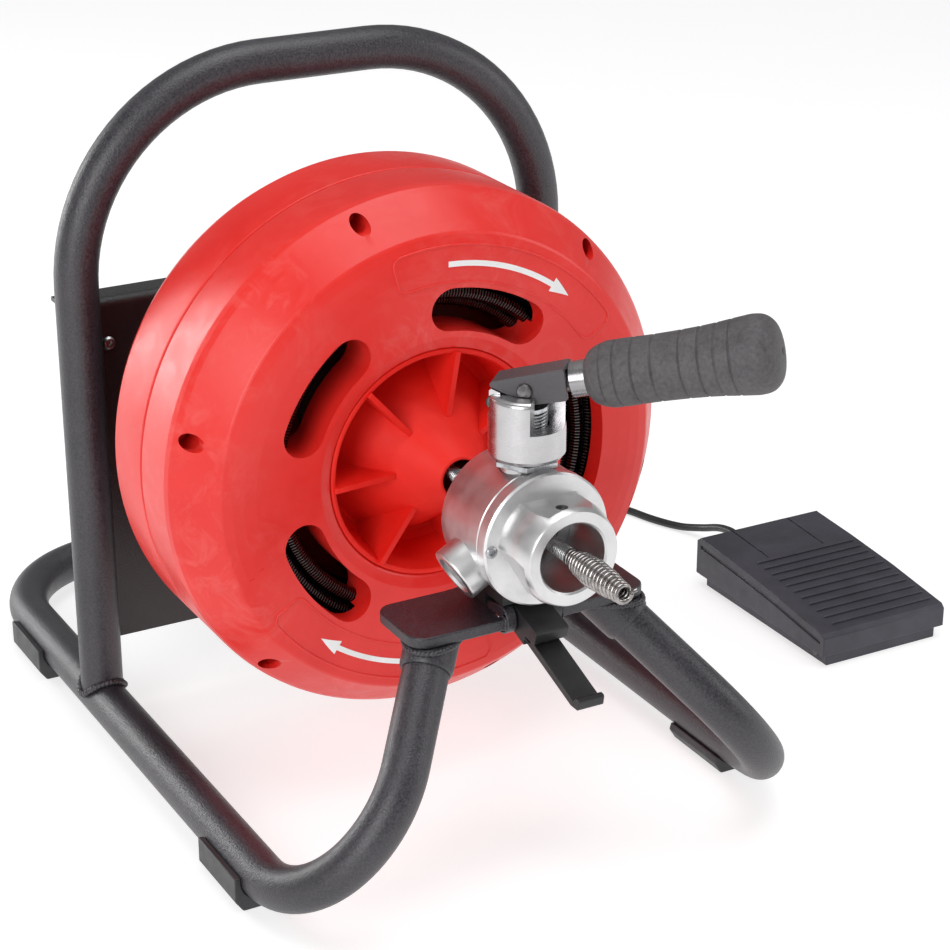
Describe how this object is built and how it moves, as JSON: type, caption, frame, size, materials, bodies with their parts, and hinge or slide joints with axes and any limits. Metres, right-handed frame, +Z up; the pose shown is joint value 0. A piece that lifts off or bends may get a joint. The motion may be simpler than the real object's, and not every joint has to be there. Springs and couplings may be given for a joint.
{
  "type": "drain snake machine",
  "caption": "Drum drain cleaner on a tubular carrying frame: motor-driven drum of cable, roller feed guide with hand lever, release latch and a corded foot pedal.",
  "frame": {"origin": "on the floor, under the middle of the box of machine and pedal together, the pedal cord left out", "axes": "+Z up; the drum axle runs along Y and the guide nose and snake tip point to -Y; the feed lever points to +X and -Y, and the reversing switch and the foot pedal are on the +X side"},
  "size_m": [0.5924, 0.6155, 0.4499],
  "materials": {
    "powder_coat": "dark grey textured powder coat",
    "black_steel": "satin black paint",
    "red_plastic": "moulded satin plastic",
    "aluminium": "turned, satin",
    "steel": "bright drawn steel",
    "black_plastic": "moulded, matt",
    "pedal_plastic": "moulded, finely textured",
    "grip_rubber": "soft ribbed grip",
    "cable_sheath": "smooth round cord",
    "wound_cable": "turns of steel cable, seen through the slots",
    "copper": "enamelled windings",
    "belt_rubber": "matt"
  },
  "bodies": {
    "root": {"base_tube": "powder_coat", "riser_collar_left": "powder_coat", "riser_collar_right": "powder_coat", "hoop_handle_tube": "powder_coat", "foot_front_left": "black_plastic", "foot_front_right": "black_plastic", "foot_rear_left": "black_plastic", "foot_rear_right": "black_plastic", "mounting_plate": "black_steel", "front_saddle": "powder_coat", "latch_pin": "steel", "drum_axle": "steel", "drive_belt": "belt_rubber", "motor_housing": "black_steel", "motor_stator": "copper", "motor_end_cap": "black_plastic", "switch_box": "black_plastic", "mains_inlet_gland": "black_plastic", "pedal_cord_gland": "black_plastic", "guide_body": "aluminium", "guide_nose": "aluminium", "guide_foot": "black_plastic", "roller_holder_left": "steel", "roller_holder_right": "steel", "boss_plug_left": "aluminium", "boss_plug_right": "aluminium", "feed_post": "aluminium", "plunger_spring": "steel", "pivot_pin": "steel", "pedal_base": "pedal_plastic", "pedal_switch": "black_plastic", "pedal_spring": "steel", "pedal_strain_relief": "black_plastic", "pedal_cord_fall": "cable_sheath", "pedal_cord_coil": "cable_sheath", "pedal_cord_run": "cable_sheath"},
    "drum": {"drum_rear_shell": "red_plastic", "drum_front_shell": "red_plastic", "drum_inner_cone": "red_plastic", "stored_cable": "wound_cable", "drum_hub": "aluminium", "front_bearing": "steel", "rear_bearing": "steel", "drum_pulley": "aluminium"},
    "snake": {"snake_cable": "steel", "snake_tip": "steel"},
    "rotor": {"motor_rotor": "steel", "cooling_fan": "black_plastic"},
    "lever": {"lever_channel": "powder_coat", "push_pin": "steel", "lever_grip": "grip_rubber", "lever_rod": "steel"},
    "plunger": {"plunger": "steel"},
    "roller_top": {"feed_roller_top": "steel"},
    "roller_left": {"feed_roller_left": "steel"},
    "roller_right": {"feed_roller_right": "steel"},
    "latch": {"release_lever": "black_plastic"},
    "knob": {"reversing_switch_knob": "grip_rubber"},
    "treadle": {"pedal_treadle": "pedal_plastic", "pedal_hinge_pin": "steel"}
  },
  "joints": [
    {"name": "drum_spin", "type": "hinge", "parent": "root", "child": "drum", "pos_m": [-0.11125, -0.02218, 0.216], "axis": [0, 1, 0], "continuous": true},
    {"name": "snake_feed", "type": "slide", "parent": "drum", "child": "snake", "axis": [0, -1, 0], "range_m": [0, 0.06]},
    {"name": "motor_spin", "type": "hinge", "parent": "root", "child": "rotor", "pos_m": [-0.11125, 0.14382, 0.111], "axis": [0, 1, 0], "continuous": true},
    {"name": "feed_lever_press", "type": "hinge", "parent": "root", "child": "lever", "pos_m": [-0.11787, -0.19079, 0.3026], "axis": [0.6947, 0.7193, 0], "range_deg": [0, 22], "stiffness_Nm_per_rad": 3, "springref_deg": -17.19},
    {"name": "plunger_slide", "type": "slide", "parent": "root", "child": "plunger", "axis": [0, 0, -1], "range_m": [0, 0.00376], "deforming": ["plunger_spring"]},
    {"name": "roller_top_spin", "type": "hinge", "parent": "plunger", "child": "roller_top", "pos_m": [-0.11125, -0.19718, 0.23215], "axis": [-0.2588, 0.9659, 0], "continuous": true},
    {"name": "roller_left_spin", "type": "hinge", "parent": "root", "child": "roller_left", "pos_m": [-0.12199, -0.19018, 0.2098], "axis": [0.1294, 0.9659, -0.2241], "continuous": true},
    {"name": "roller_right_spin", "type": "hinge", "parent": "root", "child": "roller_right", "pos_m": [-0.10051, -0.19018, 0.2098], "axis": [0.1294, 0.9659, 0.2241], "continuous": true},
    {"name": "release_lever_swing", "type": "hinge", "parent": "root", "child": "latch", "pos_m": [-0.11125, -0.20018, 0.161], "axis": [1, 0, 0], "range_deg": [0, 50]},
    {"name": "reversing_switch_turn", "type": "hinge", "parent": "root", "child": "knob", "pos_m": [-0.01725, 0.13982, 0.168], "axis": [0, 1, 0], "range_deg": [-45, 45]},
    {"name": "pedal_press", "type": "hinge", "parent": "root", "child": "treadle", "pos_m": [0.24325, -0.08018, 0.007], "axis": [-1, 0, 0], "range_deg": [0, 2.2], "stiffness_Nm_per_rad": 10, "springref_deg": -2.86, "deforming": ["pedal_spring"]}
  ],
  "couplings": [
    {"joint": "motor_spin", "follows": "drum_spin", "ratio": 3.3333},
    {"joint": "plunger_slide", "follows": "feed_lever_press", "m_per_rad": 0.009756},
    {"joint": "roller_top_spin", "follows": "drum_spin", "ratio": -0.71429},
    {"joint": "roller_left_spin", "follows": "drum_spin", "ratio": -0.71429},
    {"joint": "roller_right_spin", "follows": "drum_spin", "ratio": -0.71429}
  ]
}
